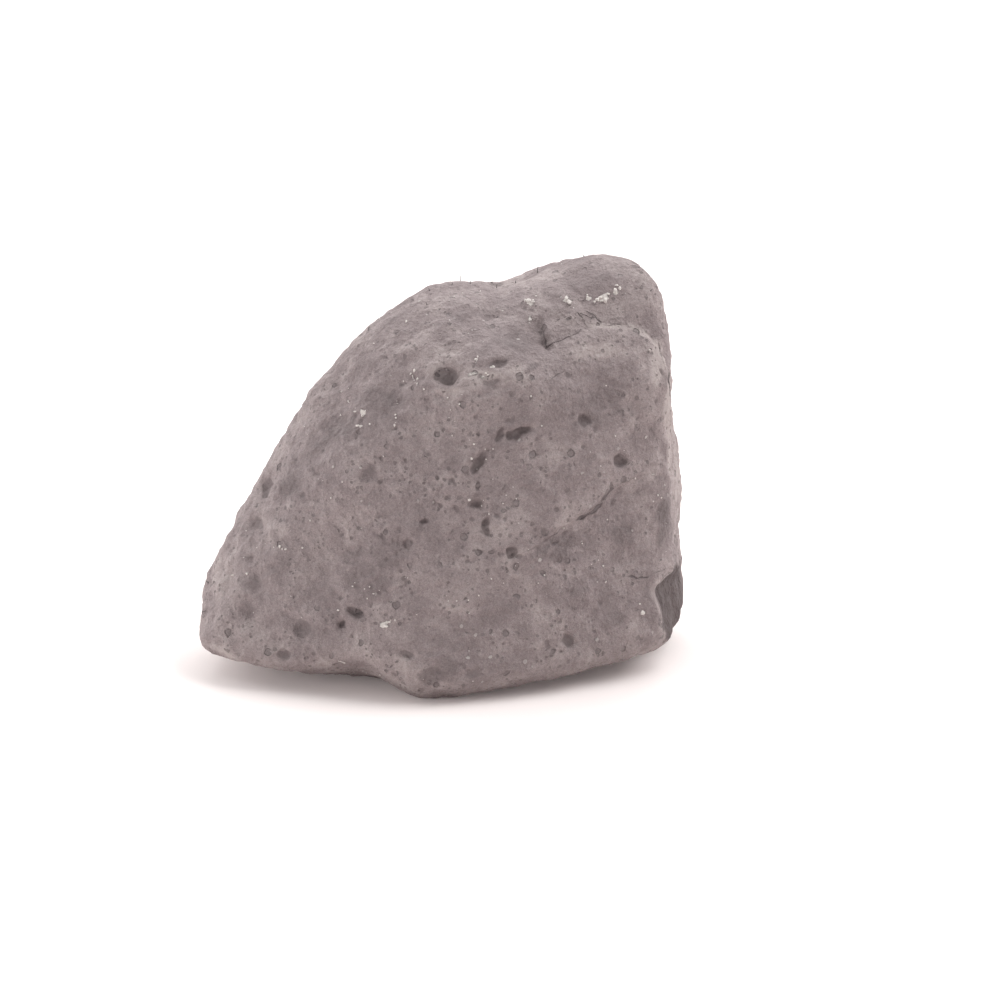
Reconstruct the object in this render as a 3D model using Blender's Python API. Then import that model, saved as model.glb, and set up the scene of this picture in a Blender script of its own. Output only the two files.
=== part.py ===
"""A lodestone: one natural lump of magnetic iron ore, worn smooth outside, pitted, and parted along an
old joint near its top. It is one solid piece, and it rests on a small flat under it.

Lengths are millimetres and angles are degrees until the mesh is made. +X runs to the right along the
stone's length, +Y away from its front, and +Z up. A facing is an azimuth and an elevation: azimuth 0
faces the front, 90 the right, 180 the back and -90 the left."""

import bmesh
import bpy
import numpy as np

# The broad facets that bound the worn stone: name, azimuth, elevation, a place on the facet, and how
# far the corner with the facets before it is rounded.
HUMP = [
    ("hump top", -25, 68, (0, -0.1, 44), 7),
    ("saddle", 85, 60, (7.8, 2.1, 43.8), 4),
]
SLAB = [
    ("slab top", 20, 52, (19, -8.2, 38.6), 3),
    ("slab back", 188, 30, (20, -2.7, 42.9), 1),
    ("slab left", -58, 48, (15.2, -4.5, 41.4), 2),
    ("slab right", 66, 44, (24.6, -3.8, 41.9), 2),
]
CAP = [
    ("cap front", 12, 50, (20, 2.4, 46.9), 3),
    ("cap left", -80, 70, (14.1, 5, 46.9), 4),
    ("cap top", -20, 86, (19.9, 8, 50.5), 4),
    ("cap right", 72, 40, (26.8, 5, 49.3), 3),
]
HULL = [
    ("front", -2, 12, (0, -18.6, 14), 5),
    ("front left", -30, 18, (-16, -13, 16), 7),
    ("front right", 28, 8, (18, -12.2, 15), 6),
    ("left slope", -62, 35, (-19.3, -2.6, 26.4), 4),
    ("left shoulder", -72, 48, (-13, 4.3, 46), 6),
    ("left tip", -95, 4, (-29.7, -2, 9), 6),
    ("right flank", 84, 3, (28.5, 4, 28), 3),
    ("right back", 128, 8, (24, 17, 22), 5),
    ("back", 178, 14, (4, 22, 20), 5),
    ("back upper right", 150, 34, (17.5, 19.5, 40.5), 3),
    ("back left", -140, 20, (-12.7, 11.4, 19.2), 4),
    ("back top", 170, 46, (8, 22, 43), 5),
    ("back low", -168, -22, (-4, 19.5, 8), 4),
    ("under left", -95, -80, (-20.1, -6, 1.3), 3),
    ("under front", -10, -60, (-1.8, -18.6, 2), 3),
    ("under right", 58, -74, (20, -4, 0.1), 4),
    ("under back", 175, -60, (0, 19, 3), 5),
    ("base", 0, -90, (0, 0, -1.3), 2),
]
HUMP_TO_SLAB = 3
CAP_TO_REST = 0.5
TOP_TO_HULL = 5

# Broad swells, and dents where the height is negative: name, place, radius, height.
SWELLS = [
    ("foot", (-1.5, -15.5, 1), 5, 1.5),
    ("arch", (-9.5, -15.5, 2), 4, -1.1),
    ("beside the arch", (-17, -14, 2), 6, -0.1),
    ("under the tip", (-28, -8, 3.5), 4, 1),
    ("left knee", (-20, -2, 34), 7, 1.2),
    ("left hollow", (-27, -2, 20), 6, -0.6),
    ("back dent", (7, 19, 27), 8, -1.6),
    ("back left dent", (-12, 12, 14), 7, -1.3),
    ("back swell", (18, 20, 13), 7, 1.0),
    ("back upper dent", (16, 13, 40), 6, -0.9),
    ("left back swell", (-18, 6, 24), 6, 0.8),
    ("cap's right shoulder", (25.6, 2.8, 44.4), 4.5, 0.95),
    ("dip behind the hump", (4.4, 8.5, 45.8), 4.5, -0.85),
    ("slab's right edge", (27.2, -2.3, 33.9), 4.5, 0.85),
    ("left shoulder", (-19, -1.5, 28.5), 5, -0.35),
]

# The corner broken off low on the right, between a face that overhangs it and a face beside it: a
# place on each and its facing.
CHIP_UPPER_AT = (25, -8.2, 9.5)
CHIP_UPPER = (66, -36)
CHIP_LOWER_AT = (26.6, -8.1, 6.7)
CHIP_LOWER = (76, 12)
CHIP_CREASE = 0.4
CHIP_EDGE = 0.3

# The joint that parts the front slab from the cap: a place on each of its two faces and their facings,
# how far the corner between them is rounded, and the recess weathered out behind it, which begins a
# little in front of the joint.
JOINT_AT = (20, -2.7, 42.9)
JOINT_FACING = (188, -4)
JOINT_LEFT_AT = (18.2, -2.9, 43)
JOINT_LEFT_FACING = (214, -4)
JOINT_CORNER = 1
JOINT_DEPTH = 0.9
JOINT_LIP = 0.35
JOINT_LEAD = 0.1
JOINT_FADE = 2.6
JOINT_LEFT_END = (13.2, 1.2)
JOINT_LOW_END = (24, 9)

# Marks on the front are laid out on a drawing plane that leans back, measured across and up from the
# front foot.
LEAN = 18
FRONT_FOOT = (0, -20, 0)

# Shallow hollows, and swells where the depth is negative: across, up, radius, depth.
HOLLOWS = [
    (19.8, 38.4, 3.2, 0.5),
    (-5.7, 37.2, 3.2, 0.35),
    (16.2, 19.8, 3.2, 0.45),
    (-13.6, 17.1, 4.9, 0.35),
    (9.5, 12.3, 5.5, 0.3),
    (2.2, 31.7, 4.8, 0.25),
    (22.2, 21.2, 2.0, -0.35),
    (3.4, 38.3, 4.1, -0.35),
    (14.3, 29.3, 4.1, -0.25),
    (-5.1, 12.3, 4.9, -0.35),
]
# Pits: across, up, half width, half height, slant, depth, steepness of the wall.
PITS = [
    (0.4, 39.7, 1.4, 1.15, -10, 1.4, 4),
    (6.9, 41.0, 1.2, 0.5, 8, 0.7, 3),
    (5.8, 38.5, 1.1, 0.6, -5, 0.4, 3),
    (9.4, 32.5, 1.7, 0.55, 18, 1.1, 4),
    (7.2, 32.3, 0.4, 0.85, -32, 0.7, 3),
    (4.5, 28.8, 0.62, 1.5, -32, 0.9, 3),
    (8.4, 18.0, 0.7, 0.7, 0, 0.8, 4),
    (21.8, 29.3, 0.75, 0.75, 0, 0.8, 4),
    (17.4, 34.1, 0.8, 0.75, 0, 0.8, 4),
    (11.9, 30.5, 1.1, 1.1, 0, 0.35, 2),
    (-8.6, 27.8, 0.8, 1.0, -30, 0.4, 4),
    (-10.6, 10.8, 1.05, 0.5, -25, 0.8, 3),
    (-17.1, 8.7, 1.1, 1.1, 0, 0.7, 3),
    (-19.3, 5.5, 0.75, 0.6, 0, 0.8, 3),
    (-1.2, 2.9, 1.5, 1.1, 10, 0.7, 2),
    (4.0, 3.2, 1.2, 0.8, 0, 0.4, 2),
    (15.6, 7.2, 0.75, 0.75, 0, 0.7, 3),
    (-21.9, 26.0, 0.5, 1.2, -15, 0.9, 3),
    (-22.6, 14.3, 1.1, 1.0, 0, 0.4, 2),
    (-23.5, 11.2, 1.1, 1.0, 0, 0.4, 2),
]
# A mark is kept to the skin this near it, so that it doesn't come out again on the far side. A scar
# fades out over this width.
MARK_REACH = 9
SCAR_FADE = 3
# Scars wander to and fro: wavelength, the way the waves run on the drawing plane, and how far they go.
SCAR_WAVES = [
    (8.6, 55, 0.3),
    (3.7, 25, 0.1),
]

# Scars: name, middle, depth, and edges, each of which is across, up, the way inward and the width of
# the step.
SCARS = [
    (
        "notch at the slab's left end",
        (13.1, 45.1),
        1.3,
        [(10.9, 45.3, 10, 1.8), (13.2, 43.2, 78, 0.7), (12.9, 45.1, 195, 0.25), (12.5, 47.2, -85, 1.2)],
    ),
    (
        "scarp low on the right",
        (19.3, 20.1),
        0.7,
        [(20.3, 24.9, -55, 0.4), (14.4, 17.1, 60, 3.5), (24.2, 19.5, 170, 3)],
    ),
]

# Pits on the sides that the drawing plane doesn't reach.
FAR_PITS = 16
FAR_PIT_SEED = 21
FAR_PIT_RADIUS = (0.8, 1.7)
FAR_PIT_DEPTH = 0.5
FAR_PIT_STEEPNESS = 3
FAR_PIT_LOWEST = 3
MOST_TOWARDS_DRAWING = 0.1
TRIES_PER_FAR_PIT = 20

# Lumps all over: wavelength, height, seed.
LUMPS = [
    (15, 0.20, 2),
    (6.5, 0.10, 7),
]
WAVES = 24
WAVE_SPREAD = (0.7, 1.4)

# The skin is found along lines that leave this egg at right angles.
CORE_CENTRE = np.array((3.0, 1.0, 20.0))
CORE_HALF = np.array((15.0, 6.0, 9.0))
FAR_OUT = 60
INWARD_STEPS = 60
STEP_SHARE = 0.95
NORMAL_REACH = 0.05

# The flat that the stone rests on, and the middle of its outline seen from above.
FLOOR = -0.8
MIDDLE = (0.03, 1.98)

# The mesh: the longest edge on plain skin, how far round a pit its edges are split finer, the shortest
# edge that is still split, and how far the middle of an edge may lie off the skin.
START_SUBDIVISIONS = 4
PLAIN_EDGE = 2.5
MARK_MARGIN = 0.3
SHORTEST_SPLIT = 1.1
CHORD_ERROR = 0.09
PASSES = 6

MILLIMETRE = 0.001
STONE_COLOUR = (0.242, 0.195, 0.195, 1.0)
STONE_ROUGHNESS = 0.85


def facing(azimuth, elevation):
    """The unit vector of a facing."""
    turn = np.radians(azimuth)
    tip = np.radians(elevation)
    return np.array((np.sin(turn) * np.cos(tip), -np.cos(turn) * np.cos(tip), np.sin(tip)))


TOWARDS = facing(0, LEAN)
UPWARDS = facing(180, 90 - LEAN)
ACROSS = np.array((1.0, 0.0, 0.0))


def rounded_max(first, second, softness):
    """The larger of two distances, with the corner between them rounded off."""
    overlap = np.maximum(softness - np.abs(first - second), 0)
    return np.maximum(first, second) + overlap**2 / (4 * softness)


def rounded_min(first, second, softness):
    return -rounded_max(-first, -second, softness)


def ramp(distance, half_width):
    """A smooth step from 0 to 1 across zero."""
    share = np.clip(0.5 + distance / (2 * half_width), 0, 1)
    return share * share * (3 - 2 * share)


def within_facets(points, table):
    """How far each point lies outside the rounded solid that the facets bound."""
    outside = None
    for _, azimuth, elevation, place, softness in table:
        distance = (points - np.array(place)) @ facing(azimuth, elevation)
        outside = distance if outside is None else rounded_max(outside, distance, softness)
    return outside


def swelling(points):
    height = np.zeros(len(points))
    for _, place, radius, rise in SWELLS:
        apart = ((points - np.array(place)) ** 2).sum(axis=1)
        height += rise * np.exp(-apart / radius**2)
    return height


def form(points):
    """How far each point lies outside the stone's form, before the marks on its skin."""
    top = rounded_min(within_facets(points, HUMP), within_facets(points, SLAB), HUMP_TO_SLAB)
    top = rounded_min(top, within_facets(points, CAP), CAP_TO_REST)
    whole = rounded_max(top, within_facets(points, HULL), TOP_TO_HULL) - swelling(points)
    upper = (points - np.array(CHIP_UPPER_AT)) @ facing(*CHIP_UPPER)
    lower = (points - np.array(CHIP_LOWER_AT)) @ facing(*CHIP_LOWER)
    return rounded_max(whole, rounded_min(upper, lower, CHIP_CREASE), CHIP_EDGE)


def outward(points):
    """The unit normals of the form at these points."""
    steps = NORMAL_REACH * np.eye(3)
    normals = np.stack([form(points + step) - form(points - step) for step in steps], axis=1)
    return normals / np.linalg.norm(normals, axis=1, keepdims=True)


def march(starts, directions):
    """The form's outermost point along each line."""
    along = np.full(len(starts), float(FAR_OUT))
    for _ in range(INWARD_STEPS):
        along -= STEP_SHARE * form(starts + along[:, None] * directions)
    return starts + along[:, None] * directions


def seen_at(across, up):
    """The point of the form that lies behind a place on the drawing plane."""
    start = np.array(FRONT_FOOT) + across * ACROSS + up * UPWARDS
    return march(start[None], TOWARDS[None])[0]


def lumps(points):
    """Sine waves in many directions, added up."""
    height = np.zeros(len(points))
    for wavelength, rise, seed in LUMPS:
        draw = np.random.default_rng(seed)
        ways = draw.normal(size=(WAVES, 3))
        ways /= np.linalg.norm(ways, axis=1, keepdims=True)
        ways *= 2 * np.pi / wavelength * draw.uniform(*WAVE_SPREAD, (WAVES, 1))
        phases = draw.uniform(0, 2 * np.pi, WAVES)
        height += rise * np.sin(points @ ways.T + phases).sum(axis=1) * np.sqrt(2 / WAVES)
    return height


def joint(points):
    behind_right = (points - np.array(JOINT_AT)) @ facing(*JOINT_FACING)
    behind_left = (points - np.array(JOINT_LEFT_AT)) @ facing(*JOINT_LEFT_FACING)
    behind = rounded_max(behind_right, behind_left, JOINT_CORNER)
    kept = ramp(points[:, 0] - JOINT_LEFT_END[0], JOINT_LEFT_END[1])
    kept *= ramp(points[:, 2] - JOINT_LOW_END[0], JOINT_LOW_END[1])
    recess = ramp(behind + JOINT_LEAD, JOINT_LIP) * np.exp(-np.maximum(behind, 0) / JOINT_FADE)
    return -JOINT_DEPTH * kept * recess


def hollows(points):
    height = np.zeros(len(points))
    for across, up, radius, depth in HOLLOWS:
        apart = ((points - seen_at(across, up)) ** 2).sum(axis=1)
        height -= depth * np.exp(-apart / radius**2)
    return height


def on_drawing(points):
    from_foot = points - np.array(FRONT_FOOT)
    return from_foot @ ACROSS, from_foot @ UPWARDS


def pits(points):
    across, up = on_drawing(points)
    height = np.zeros(len(points))
    for pit_across, pit_up, half_width, half_height, slant, depth, steepness in PITS:
        near = np.linalg.norm(points - seen_at(pit_across, pit_up), axis=1) < MARK_REACH
        turn = np.radians(slant)
        right = across - pit_across
        over = up - pit_up
        along = (right * np.cos(turn) + over * np.sin(turn)) / half_width
        aside = (over * np.cos(turn) - right * np.sin(turn)) / half_height
        height -= near * depth / (1 + (along**2 + aside**2) ** steepness)
    return height


def scars(points):
    across, up = on_drawing(points)
    for wavelength, way, shift in SCAR_WAVES:
        turn = np.radians(way)
        up = up + shift * np.sin(2 * np.pi / wavelength * (across * np.cos(turn) + up * np.sin(turn)))
    height = np.zeros(len(points))
    for _, middle, depth, edges in SCARS:
        inside = ramp(MARK_REACH - np.linalg.norm(points - seen_at(*middle), axis=1), SCAR_FADE)
        for edge_across, edge_up, inward, width in edges:
            turn = np.radians(inward)
            inside *= ramp((across - edge_across) * np.cos(turn) + (up - edge_up) * np.sin(turn), width)
        height -= depth * inside
    return height


def far_pits():
    """The middles and radii of the pits that face away from the drawing plane."""
    draw = np.random.default_rng(FAR_PIT_SEED)
    tries = draw.normal(size=(TRIES_PER_FAR_PIT * FAR_PITS, 3))
    places = skin_line(tries / np.linalg.norm(tries, axis=1, keepdims=True))
    hidden = (outward(places) @ TOWARDS < MOST_TOWARDS_DRAWING) & (places[:, 2] > FAR_PIT_LOWEST)
    radii = draw.uniform(*FAR_PIT_RADIUS, len(places))
    return places[hidden][:FAR_PITS], radii[hidden][:FAR_PITS]


def skin_line(sphere):
    """The form's point for each direction: a line leaves the egg at right angles and meets the form
    once."""
    leaving = sphere / CORE_HALF
    leaving /= np.linalg.norm(leaving, axis=1, keepdims=True)
    return march(CORE_CENTRE + CORE_HALF * sphere, leaving)


def skin(sphere, far):
    """The stone's skin for points on the unit sphere, with its marks, cut flat where it rests."""
    points = skin_line(sphere)
    height = lumps(points) + joint(points) + hollows(points) + pits(points) + scars(points)
    for place, radius in zip(*far):
        apart = ((points - place) ** 2).sum(axis=1) / radius**2
        height -= FAR_PIT_DEPTH / (1 + apart**FAR_PIT_STEEPNESS)
    points = points + height[:, None] * outward(points)
    points[:, 2] = np.maximum(points[:, 2], FLOOR)
    return points


def sphere_points(mesh):
    points = np.array([vertex.co[:] for vertex in mesh.verts])
    return points / np.linalg.norm(points, axis=1, keepdims=True)


def refine(mesh, far, marks):
    """Splits the edges that are too long, or that lie off the skin, and leaves triangles."""
    sphere = sphere_points(mesh)
    points = skin(sphere, far)
    mesh.verts.index_update()
    ends = np.array([[vertex.index for vertex in edge.verts] for edge in mesh.edges])
    halfway = sphere[ends].mean(axis=1)
    halfway /= np.linalg.norm(halfway, axis=1, keepdims=True)
    between = skin(halfway, far)
    length = np.linalg.norm(points[ends[:, 0]] - points[ends[:, 1]], axis=1)
    error = np.linalg.norm(between - points[ends].mean(axis=1), axis=1)
    by_mark = np.zeros(len(ends), bool)
    for place, radius in marks:
        by_mark |= np.linalg.norm(between - place, axis=1) < radius + MARK_MARGIN
    rough = (error > CHORD_ERROR) | by_mark
    split = (length > PLAIN_EDGE) | (rough & (length > SHORTEST_SPLIT))
    chosen = [edge for edge, wanted in zip(list(mesh.edges), split) if wanted]
    bmesh.ops.subdivide_edges(mesh, edges=chosen, cuts=1)
    bmesh.ops.triangulate(mesh, faces=mesh.faces[:])
    for vertex in mesh.verts:
        vertex.co.normalize()


def stone_mesh():
    mesh = bmesh.new()
    bmesh.ops.create_icosphere(mesh, subdivisions=START_SUBDIVISIONS, radius=1)
    far = far_pits()
    marks = [(seen_at(row[0], row[1]), max(row[2], row[3])) for row in PITS]
    marks += list(zip(*far))
    for _ in range(PASSES):
        refine(mesh, far, marks)
    points = skin(sphere_points(mesh), far) - np.array((*MIDDLE, FLOOR))
    for vertex, point in zip(mesh.verts, points):
        vertex.co = point * MILLIMETRE
    bmesh.ops.recalc_face_normals(mesh, faces=mesh.faces[:])
    for face in mesh.faces:
        face.smooth = True
    data = bpy.data.meshes.new("stone")
    mesh.to_mesh(data)
    mesh.free()
    return data


def stone_material():
    material = bpy.data.materials.new("stone")
    material.use_nodes = True
    shader = material.node_tree.nodes["Principled BSDF"]
    shader.inputs["Base Color"].default_value = STONE_COLOUR
    shader.inputs["Roughness"].default_value = STONE_ROUGHNESS
    return material


for old in list(bpy.data.objects):
    bpy.data.objects.remove(old)

stone = bpy.data.objects.new("stone", stone_mesh())
stone.data.materials.append(stone_material())
bpy.context.scene.collection.objects.link(stone)
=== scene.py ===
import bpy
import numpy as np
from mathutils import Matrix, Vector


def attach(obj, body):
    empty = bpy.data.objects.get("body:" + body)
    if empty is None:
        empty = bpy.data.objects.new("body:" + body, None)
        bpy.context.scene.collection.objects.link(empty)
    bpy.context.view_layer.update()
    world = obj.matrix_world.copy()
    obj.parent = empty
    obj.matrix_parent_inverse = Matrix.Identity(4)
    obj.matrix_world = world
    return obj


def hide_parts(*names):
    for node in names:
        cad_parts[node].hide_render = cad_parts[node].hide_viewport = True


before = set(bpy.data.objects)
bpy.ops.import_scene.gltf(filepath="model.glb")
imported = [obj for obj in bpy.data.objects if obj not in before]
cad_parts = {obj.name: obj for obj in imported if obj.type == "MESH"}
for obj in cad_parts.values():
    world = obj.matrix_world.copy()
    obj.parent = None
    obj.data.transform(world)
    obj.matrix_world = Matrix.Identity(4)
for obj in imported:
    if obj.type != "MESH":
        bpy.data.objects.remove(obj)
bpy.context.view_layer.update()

# A lodestone dressed for looks: its worn, pitted skin, the pale mineral grains set in it, and the few iron splinters
# that it holds. Tables are in millimetres and degrees, in the stone's own axes: +X to the right, +Y away from the
# front and +Z up. A facing is an azimuth (0 the front, 90 the right) and an elevation.

# The worn facets that bound the stone: azimuth, elevation, a place on the facet, and how far its corner is rounded.
HUMP = [
    (-25, 68, (0, -0.1, 44), 7),
    (85, 60, (7.8, 2.1, 43.8), 4),
]
SLAB = [
    (20, 52, (19, -8.2, 38.6), 3),
    (188, 30, (20, -2.7, 42.9), 1),
    (-58, 48, (15.2, -4.5, 41.4), 2),
    (66, 44, (24.6, -3.8, 41.9), 2),
]
CAP = [
    (12, 50, (20, 2.4, 46.9), 3),
    (-80, 70, (14.1, 5, 46.9), 4),
    (-20, 86, (19.9, 8, 50.5), 4),
    (72, 40, (26.8, 5, 49.3), 3),
]
HULL = [
    (-2, 12, (0, -18.6, 14), 5),
    (-30, 18, (-16, -13, 16), 7),
    (28, 8, (18, -12.2, 15), 6),
    (-62, 35, (-19.3, -2.6, 26.4), 4),
    (-72, 48, (-13, 4.3, 46), 6),
    (-95, 4, (-29.7, -2, 9), 6),
    (84, 3, (28.5, 4, 28), 3),
    (128, 8, (24, 17, 22), 5),
    (178, 14, (4, 22, 20), 5),
    (150, 34, (17.5, 19.5, 40.5), 3),
    (-140, 20, (-12.7, 11.4, 19.2), 4),
    (170, 46, (8, 22, 43), 5),
    (-168, -22, (-4, 19.5, 8), 4),
    (-95, -80, (-20.1, -6, 1.3), 3),
    (-10, -60, (-1.8, -18.6, 2), 3),
    (58, -74, (20, -4, 0.1), 4),
    (175, -60, (0, 19, 3), 5),
    (0, -90, (0, 0, -1.3), 2),
]
HUMP_TO_SLAB = 3
CAP_TO_REST = 0.5
TOP_TO_HULL = 5

# Broad swells and dents: place, radius, height.
SWELLS = [
    ((-1.5, -15.5, 1), 5, 1.5),
    ((-9.5, -15.5, 2), 4, -1.1),
    ((-17, -14, 2), 6, -0.1),
    ((-28, -8, 3.5), 4, 1),
    ((-20, -2, 34), 7, 1.2),
    ((-27, -2, 20), 6, -0.6),
    ((7, 19, 27), 8, -1.6),
    ((-12, 12, 14), 7, -1.3),
    ((18, 20, 13), 7, 1.0),
    ((16, 13, 40), 6, -0.9),
    ((-18, 6, 24), 6, 0.8),
    ((25.6, 2.8, 44.4), 4.5, 0.95),
    ((4.4, 8.5, 45.8), 4.5, -0.85),
    ((27.2, -2.3, 33.9), 4.5, 0.85),
    ((-19, -1.5, 28.5), 5, -0.35),
]

# The broken corner low on the right, and the joint that parts the front slab from the cap behind it.
CHIP_UPPER_AT = (25, -8.2, 9.5)
CHIP_UPPER = (66, -36)
CHIP_LOWER_AT = (26.6, -8.1, 6.7)
CHIP_LOWER = (76, 12)
CHIP_CREASE = 0.4
CHIP_EDGE = 0.3
JOINT_AT = (20, -2.7, 42.9)
JOINT_FACING = (188, -4)
JOINT_LEFT_AT = (18.2, -2.9, 43)
JOINT_LEFT_FACING = (214, -4)
JOINT_CORNER = 1
JOINT_DEPTH = 0.9
JOINT_LIP = 0.35
JOINT_LEAD = 0.1
JOINT_FADE = 2.6
JOINT_LEFT_END = (13.2, 1.2)
JOINT_LOW_END = (24, 9)

# Marks on the front are laid out on a plane that leans back, measured across and up from the front foot.
LEAN = 18
FRONT_FOOT = (0, -20, 0)
MARK_REACH = 9
SCAR_FADE = 3
# Scars wander to and fro: wavelength, the way the waves run, and how far they go.
SCAR_WAVES = [
    (8.6, 55, 0.3),
    (3.7, 25, 0.1),
]
# Short waves that make the outlines of all the marks uneven: wavelength, how far they go, seed.
UNEVEN = [
    (2.4, 0.08, 41),
    (1.1, 0.05, 61),
]

# Hollows, and swells where the depth is negative: across, up, radius, depth.
HOLLOWS = [
    (19.8, 38.4, 3.2, 0.5),
    (-5.7, 37.2, 3.2, 0.35),
    (16.2, 19.8, 3.2, 0.45),
    (-13.6, 17.1, 4.9, 0.35),
    (9.5, 12.3, 5.5, 0.3),
    (2.2, 31.7, 4.8, 0.25),
    (22.2, 21.2, 2.0, -0.35),
    (3.4, 38.3, 4.1, -0.35),
    (14.3, 29.3, 4.1, -0.25),
    (-5.1, 12.3, 4.9, -0.35),
]
# Pits: across, up, half width, half height, slant, depth, steepness of the wall.
PITS = [
    (0.4, 39.7, 1.4, 1.15, -10, 1.4, 4),
    (6.9, 41.0, 1.2, 0.5, 8, 0.7, 3),
    (5.8, 38.5, 1.1, 0.6, -5, 0.4, 3),
    (9.4, 32.5, 1.7, 0.55, 18, 1.1, 4),
    (7.2, 32.3, 0.4, 0.85, -32, 0.7, 3),
    (4.5, 28.8, 0.62, 1.5, -32, 0.9, 3),
    (8.4, 18.0, 0.7, 0.7, 0, 0.8, 4),
    (21.8, 29.3, 0.75, 0.75, 0, 0.8, 4),
    (17.4, 34.1, 0.8, 0.75, 0, 0.8, 4),
    (11.9, 30.5, 1.1, 1.1, 0, 0.35, 2),
    (-8.6, 27.8, 0.8, 1.0, -30, 0.4, 4),
    (-10.6, 10.8, 1.05, 0.5, -25, 0.8, 3),
    (-17.1, 8.7, 1.1, 1.1, 0, 0.7, 3),
    (-12.4, 9.3, 0.3, 0.5, -25, 0.5, 3),
    (-19.3, 5.5, 0.75, 0.6, 0, 0.8, 3),
    (-1.2, 2.9, 1.5, 1.1, 10, 0.7, 2),
    (4.0, 3.2, 1.2, 0.8, 0, 0.4, 2),
    (15.6, 7.2, 0.75, 0.75, 0, 0.7, 3),
    (-21.9, 26.0, 0.5, 1.2, -15, 0.9, 3),
    (-22.6, 14.3, 1.1, 1.0, 0, 0.4, 2),
    (-23.5, 11.2, 1.1, 1.0, 0, 0.4, 2),
    (4.4, 24.0, 0.97, 0.61, 0, 0.4, 3),
    (5.4, 21.0, 0.48, 1.2, 0, 0.6, 3),
    (23.1, 36.0, 0.85, 0.73, 0, 0.3, 3),
    (-2.3, 21.7, 0.5, 0.32, 0, 0.6, 3),
    (-4.1, 19.0, 0.73, 0.61, 0, 0.5, 3),
    (-12.3, 9.2, 0.49, 0.49, 0, 0.4, 3),
    (-4.3, 5.6, 0.97, 0.61, 0, 0.6, 3),
    (-22.9, 21.7, 0.61, 0.86, 0, 0.5, 3),
    (-23.3, 19.3, 0.49, 0.61, 0, 0.4, 3),
    (-23.8, 17.3, 0.49, 0.61, 0, 0.4, 3),
    (5.8, 47.2, 0.85, 0.49, 10, 0.4, 3),
    (4.3, 23.7, 0.6, 0.45, 20, 0.4, 3),
    (14.0, 19.1, 0.45, 0.18, 20, 0.3, 3),
    (15.5, 20.4, 0.5, 0.17, 30, 0.3, 3),
    (24.2, 22.3, 0.35, 0.5, 35, 0.28, 3),
    (-15.1, 27.5, 0.25, 0.4, 35, 0.28, 3),
    (-1.4, 5.6, 0.4, 0.3, 35, 0.28, 3),
    (-7.5, 13.2, 0.25, 0.4, 35, 0.28, 3),
]
# Painted shade in the pits: a pit as deep as this is painted as dark inside as any. A rim lies this many half widths
# out, and is this wide.
DARKEST_PIT = 0.8
RIM_AT = 1.35
RIM_WIDTH = 0.25
RIM_PALENESS = 0.2
# Scars: middle, depth, and edges, each of which is across, up, the way inward and the width of the step.
SCARS = [
    (
        (13.1, 45.1),
        1.3,
        [(10.9, 45.3, 10, 1.8), (13.2, 43.2, 78, 0.7), (12.9, 45.1, 195, 0.25), (12.5, 47.2, -85, 1.2)],
    ),
    (
        (19.3, 20.1),
        0.7,
        [(20.3, 24.9, -55, 0.4), (14.4, 17.1, 60, 3.5), (24.2, 19.5, 170, 3)],
    ),
]
# Cracks: half width, and the places that each runs through.
CRACKS = [
    (0.36, [(21.1, 26.0), (20.4, 25.2), (19.6, 24.1)]),
    (0.34, [(19.9, 23.9), (18.5, 22.9), (17.3, 22.3), (16.1, 21.8)]),
    (0.1, [(16.1, 21.8), (14.8, 20.8), (12.4, 19.3), (8.9, 17.6)]),
    (0.1, [(24.2, 27.3), (22.4, 26.6), (21.2, 25.9)]),
    (0.14, [(22.8, 15.0), (24.2, 14.9), (26.0, 15.1)]),
    (0.08, [(25.6, 15.4), (26.9, 15.8), (28.4, 16.0)]),
    (0.14, [(26.9, 44.6), (27.1, 42.8), (27.5, 40.3), (27.9, 37.9), (28.2, 36.1)]),
    (0.1, [(12.3, 46.6), (12.8, 44.9), (13.1, 43.5), (14.0, 44.0), (15.1, 44.4), (16.4, 45.1), (18.2, 45.7)]),
    (0.16, [(17.4, 47.9), (18.6, 47.3), (19.2, 46.8), (20.2, 46.4)]),
    (0.34, [(18.2, 47.6), (18.5, 47.3), (18.8, 46.9)]),
    (0.2, [(13.9, 46.7), (14.5, 47.1)]),
    (0.2, [(15.2, 46.8), (16.0, 46.7)]),
    (0.15, [(16.6, 47.5), (17.0, 47.0), (17.2, 46.8)]),
    (0.1, [(13.0, 38.7), (14.1, 39.6), (15.4, 40.2)]),
    (0.1, [(20.0, 46.3), (21.3, 46.5), (22.6, 46.2)]),
]
CRACK_REACH = 0.6
# The nearly black patch on the chipped corner: middle, how far it reaches, how far it fades, and its edges as for the
# scars. Its pale rim is this wide.
BREAK = ((27.4, 11.0), 12, 3, [(26.9, 14.4, -48, 0.12), (26.5, 11.0, 12, 0.12)])
BREAK_RIM = 0.35

# Pits on the sides that the leaning plane doesn't reach, which the solid has too.
FAR_PITS = 16
FAR_PIT_SEED = 21
FAR_PIT_RADIUS = (0.8, 1.7)
FAR_PIT_DEPTH = 0.5
FAR_PIT_LOWEST = 3
MOST_TOWARDS_DRAWING = 0.1
TRIES_PER_FAR_PIT = 20

# Small pits all over: how many, seed, radius, the range of the share that each radius is multiplied by, and depth as a
# share of the radius. They gather where a broad wave, of this wavelength and seed, and some chance come to more than
# the least.
SMALL_PITS = 420
SMALL_PIT_SEED = 5
SMALL_PIT_RADIUS = (0.18, 0.5)
SMALL_PIT_SHRINK = (0.7, 1)
SMALL_PIT_DEPTH = 0.55
# How dark the painted shade in a small pit is, as a share of the darkest.
SMALL_PIT_DARKNESS = 0.75
SMALL_PIT_WAVE = (11, 31)
SMALL_PIT_CHANCE = 0.8
SMALL_PIT_LEAST = 0.2
TRIES_PER_SMALL_PIT = 3

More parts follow.
